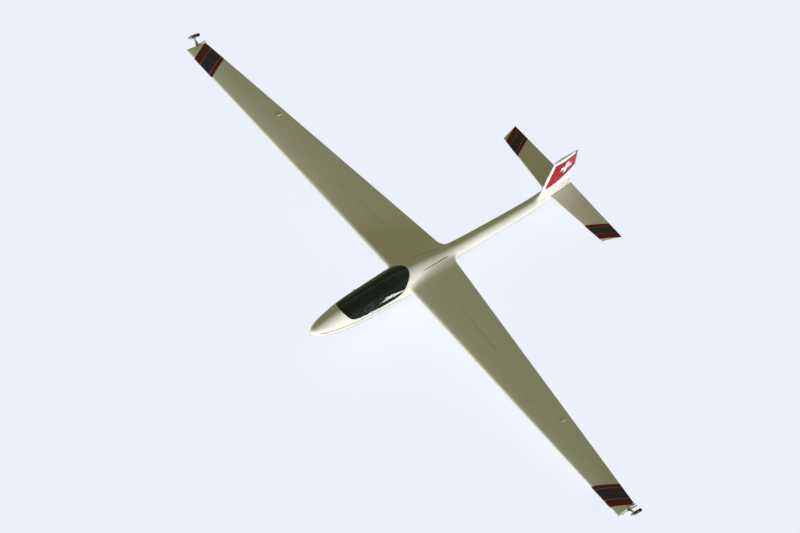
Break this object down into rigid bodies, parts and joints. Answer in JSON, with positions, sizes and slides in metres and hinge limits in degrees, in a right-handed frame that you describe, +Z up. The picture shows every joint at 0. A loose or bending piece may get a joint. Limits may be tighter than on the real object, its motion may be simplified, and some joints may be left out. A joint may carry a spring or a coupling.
{
  "type": "aerobatic sailplane glider",
  "caption": "Single-seat aerobatic sailplane parked on main wheel, tail wheel and left wing tip, with opening canopy, working control surfaces and airbrakes, and smoke canisters at the tips.",
  "frame": {"origin": "centre of the bounding box in plan, at the level of the ground under the wheels", "axes": "+X towards the aircraft's left wing tip, which rests on the ground, -Y towards the nose, +Z up"},
  "size_m": [12.8886, 6.9306, 2.0237],
  "materials": {
    "gelcoat_cream": "glossy gelcoat on glass fibre, with dark red and charcoal stripes near the tips",
    "paint_red": "glossy red fin and rudder with a plain white upright cross and white edges",
    "tinted_glass": "smooth tinted acrylic",
    "tyre_rubber": "matt black rubber",
    "alloy": "satin",
    "steel": "satin",
    "panel_black": "fine-grained black",
    "cockpit_grey": "speckled grey cockpit paint",
    "seat_cloth": "woven dark cloth",
    "skid_nylon": "scuffed black nylon",
    "canister_dark_red": "dark red card with a grey nose"
  },
  "bodies": {
    "airframe": {"airbrake_lever": "steel", "backrest_cushion": "seat_cloth", "control_stick": "panel_black", "fin": "paint_red", "fuselage_shell": "gelcoat_cream", "gear_door_left": "gelcoat_cream", "gear_door_right": "gelcoat_cream", "headrest": "seat_cloth", "headrest_post": "cockpit_grey", "instrument_panel": "panel_black", "main_axle": "steel", "main_gear_fork": "steel", "panel_pedestal": "cockpit_grey", "rudder_pedals": "steel", "seat_cushion": "seat_cloth", "seat_pan": "cockpit_grey", "side_console_left": "cockpit_grey", "side_console_right": "cockpit_grey", "smoke_canister_left": "canister_dark_red", "smoke_canister_right": "canister_dark_red", "smoke_mount_left": "steel", "smoke_mount_right": "steel", "tail_axle": "steel", "tail_boom": "gelcoat_cream", "tail_wheel_fork": "gelcoat_cream", "tailplane_left": "gelcoat_cream", "tailplane_right": "gelcoat_cream", "tip_skid_left": "skid_nylon", "tip_skid_right": "skid_nylon", "tow_hook": "steel", "wing_left": "gelcoat_cream", "wing_right": "gelcoat_cream"},
    "canopy": {"canopy_frame": "panel_black", "canopy_glass": "tinted_glass"},
    "aileron_left": {"aileron_left": "gelcoat_cream"},
    "aileron_right": {"aileron_right": "gelcoat_cream"},
    "elevator": {"elevator_left": "gelcoat_cream", "elevator_right": "gelcoat_cream", "elevator_torque_tube": "steel"},
    "rudder": {"rudder": "paint_red"},
    "airbrake_left": {"airbrake_left": "alloy"},
    "airbrake_right": {"airbrake_right": "alloy"},
    "main_wheel": {"main_tyre": "tyre_rubber", "main_rim": "alloy"},
    "tail_wheel": {"tail_tyre": "tyre_rubber", "tail_rim": "alloy"}
  },
  "joints": [
    {"name": "canopy", "type": "hinge", "parent": "airframe", "child": "canopy", "pos_m": [-0.34808, -2.1103, 0.87014], "axis": [0, -0.9938, 0.1115], "range_deg": [0, 80]},
    {"name": "aileron_left", "type": "hinge", "parent": "airframe", "child": "aileron_left", "pos_m": [4.37849, -0.81168, 0.26081], "axis": [0.9829, -0.1621, -0.0871], "range_deg": [-20, 20]},
    {"name": "aileron_right", "type": "hinge", "parent": "airframe", "child": "aileron_right", "pos_m": [-4.42689, -0.67523, 1.47682], "axis": [0.9742, 0.1318, -0.1831], "range_deg": [-20, 20]},
    {"name": "elevator", "type": "hinge", "parent": "airframe", "child": "elevator", "pos_m": [-0.03538, 3.21422, 0.34377], "axis": [0.9905, -0.0153, -0.1368], "range_deg": [-20, 25]},
    {"name": "rudder", "type": "hinge", "parent": "airframe", "child": "rudder", "pos_m": [0.05023, 3.08676, 0.97802], "axis": [0.136, -0.0431, 0.9898], "range_deg": [-30, 30]},
    {"name": "airbrake_left", "type": "slide", "parent": "airframe", "child": "airbrake_left", "axis": [0.1152, 0.1128, 0.9869], "range_m": [0, 0.1]},
    {"name": "airbrake_right", "type": "slide", "parent": "airframe", "child": "airbrake_right", "axis": [0.16, 0.1121, 0.9807], "range_m": [0, 0.1]},
    {"name": "main_wheel", "type": "hinge", "parent": "airframe", "child": "main_wheel", "pos_m": [-0.12843, -1.33238, 0.18016], "axis": [0.9905, -0.0153, -0.1368], "continuous": true},
    {"name": "tail_wheel", "type": "hinge", "parent": "airframe", "child": "tail_wheel", "pos_m": [-0.08328, 2.43046, 0.08486], "axis": [0.9905, -0.0153, -0.1368], "continuous": true}
  ],
  "couplings": [
    {"joint": "aileron_right", "follows": "aileron_left", "ratio": -1},
    {"joint": "airbrake_right", "follows": "airbrake_left", "ratio": 1}
  ]
}
